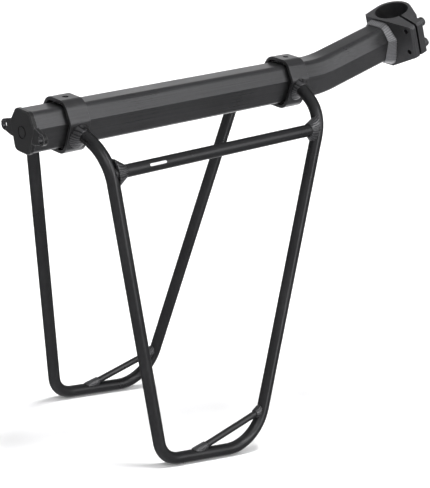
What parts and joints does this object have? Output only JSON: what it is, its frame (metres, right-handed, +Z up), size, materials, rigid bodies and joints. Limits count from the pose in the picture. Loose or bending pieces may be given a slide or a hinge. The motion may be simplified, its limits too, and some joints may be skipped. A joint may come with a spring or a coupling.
{
  "type": "seatpost-mounted rear rack",
  "caption": "Hollow bicycle rack beam with a split seatpost clamp and a sliding welded pannier frame of bent rod.",
  "frame": {"origin": "centre of the seatpost clamp's bore, halfway along it", "axes": "+X towards the front of the bicycle, +Y to its left, +Z up, with the bottoms of both hoops level; the beam climbs 9.4 degrees towards the clamp"},
  "size_m": [0.4364, 0.1676, 0.3925],
  "materials": {
    "black_beam": "satin black anodised extrusion",
    "black_clamp": "satin black anodised forging",
    "black_rod": "satin black powder coat",
    "black_weld": "coated weld bead, rippled",
    "cap_plastic": "fine-grained moulding",
    "liner_plastic": "plain bearing plastic",
    "plated_insert": "plated threaded insert",
    "black_screw": "black oxide screw"
  },
  "bodies": {
    "rack": {"beam": "black_beam", "clamp_body": "black_clamp", "clamp_weld": "black_weld", "end_cap": "cap_plastic", "light_inserts": "plated_insert"},
    "side_frame": {"rear_ring": "black_beam", "front_ring": "black_beam", "rear_liner": "liner_plastic", "front_liner": "liner_plastic", "left_hoop": "black_rod", "right_hoop": "black_rod", "left_crossbar": "black_rod", "right_crossbar": "black_rod", "left_foot_brace": "black_rod", "right_foot_brace": "black_rod", "ring_welds": "black_weld", "crossbar_welds": "black_weld", "brace_welds": "black_weld"},
    "upper_bolt": {"clamp_bolt_upper": "black_screw"},
    "lower_bolt": {"clamp_bolt_lower": "black_screw"},
    "rear_grub": {"rear_grub_screw": "black_screw"},
    "front_grub": {"front_grub_screw": "black_screw"}
  },
  "joints": [
    {"name": "frame_slide", "type": "slide", "parent": "rack", "child": "side_frame", "axis": [0.9866, 0, 0.1633], "range_m": [-0.024, 0.016]},
    {"name": "upper_bolt_turn", "type": "hinge", "parent": "rack", "child": "upper_bolt", "pos_m": [-0.00965, -0.0338, 0.01528], "axis": [0.8712, 0, 0.4909], "range_deg": [0, 360]},
    {"name": "lower_bolt_turn", "type": "hinge", "parent": "rack", "child": "lower_bolt", "pos_m": [0.00066, -0.0338, -0.00301], "axis": [0.8712, 0, 0.4909], "range_deg": [0, 360]},
    {"name": "rear_grub_turn", "type": "hinge", "parent": "side_frame", "child": "rear_grub", "pos_m": [-0.369, 0, -0.06824], "axis": [-0.1633, 0, 0.9866], "range_deg": [0, 360]},
    {"name": "front_grub_turn", "type": "hinge", "parent": "side_frame", "child": "front_grub", "pos_m": [-0.13617, 0, -0.02969], "axis": [-0.1633, 0, 0.9866], "range_deg": [0, 360]}
  ]
}
